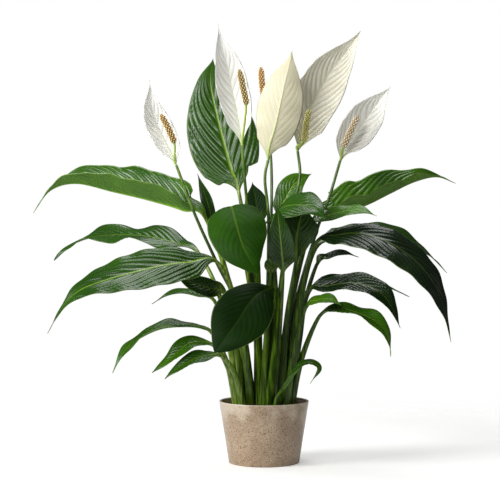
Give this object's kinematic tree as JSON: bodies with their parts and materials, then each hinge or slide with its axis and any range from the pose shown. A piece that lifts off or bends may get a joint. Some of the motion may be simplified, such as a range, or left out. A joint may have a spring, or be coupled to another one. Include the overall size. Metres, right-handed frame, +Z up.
{
  "type": "potted peace lily",
  "caption": "Peace lily in a plain tapered pot: arching glossy leaves and upright white spathes with cream spadices.",
  "frame": {"origin": "centre of the flat underside of the pot, on the surface that the pot stands on", "axes": "+Z up through the pot's axis; -Y is the front, the side that most flowers open towards; +X is the right seen from the front"},
  "size_m": [0.7443, 0.3492, 0.7302],
  "materials": {
    "pot_glaze": "satin",
    "potting_soil": "matte",
    "leaf_green": "gloss",
    "scape_green": "satin",
    "spathe_white": "satin",
    "spadix_cream": "matte"
  },
  "bodies": {
    "root": {"leaf_back_left_upright": "leaf_green", "leaf_base_bent": "leaf_green", "leaf_centre_back": "leaf_green", "leaf_centre_curl": "leaf_green", "leaf_centre_dark": "leaf_green", "leaf_centre_spear": "leaf_green", "leaf_centre_turned": "leaf_green", "leaf_front_drop": "leaf_green", "leaf_front_left_cup": "leaf_green", "leaf_front_right_cup": "leaf_green", "leaf_left_far": "leaf_green", "leaf_left_gloss": "leaf_green", "leaf_left_spike": "leaf_green", "leaf_left_thin": "leaf_green", "leaf_left_under": "leaf_green", "leaf_left_upper": "leaf_green", "leaf_low_left_a": "leaf_green", "leaf_low_left_b": "leaf_green", "leaf_low_left_c": "leaf_green", "leaf_right_far": "leaf_green", "leaf_right_gloss": "leaf_green", "leaf_right_low": "leaf_green", "leaf_right_mid": "leaf_green", "leaf_right_mid_far": "leaf_green", "leaf_right_pale": "leaf_green", "leaf_right_small": "leaf_green", "leaf_right_under": "leaf_green", "leaf_right_upper": "leaf_green", "pot": "pot_glaze", "scape_back": "scape_green", "scape_far_left": "scape_green", "scape_far_right": "scape_green", "scape_front": "scape_green", "scape_left": "scape_green", "scape_tall_right": "scape_green", "soil": "potting_soil", "spadix_back": "spadix_cream", "spadix_far_left": "spadix_cream", "spadix_far_right": "spadix_cream", "spadix_front": "spadix_cream", "spadix_left": "spadix_cream", "spadix_tall_right": "spadix_cream", "spathe_back": "spathe_white", "spathe_far_left": "spathe_white", "spathe_far_right": "spathe_white", "spathe_front": "spathe_white", "spathe_left": "spathe_white", "spathe_tall_right": "spathe_white"}
  },
  "joints": []
}
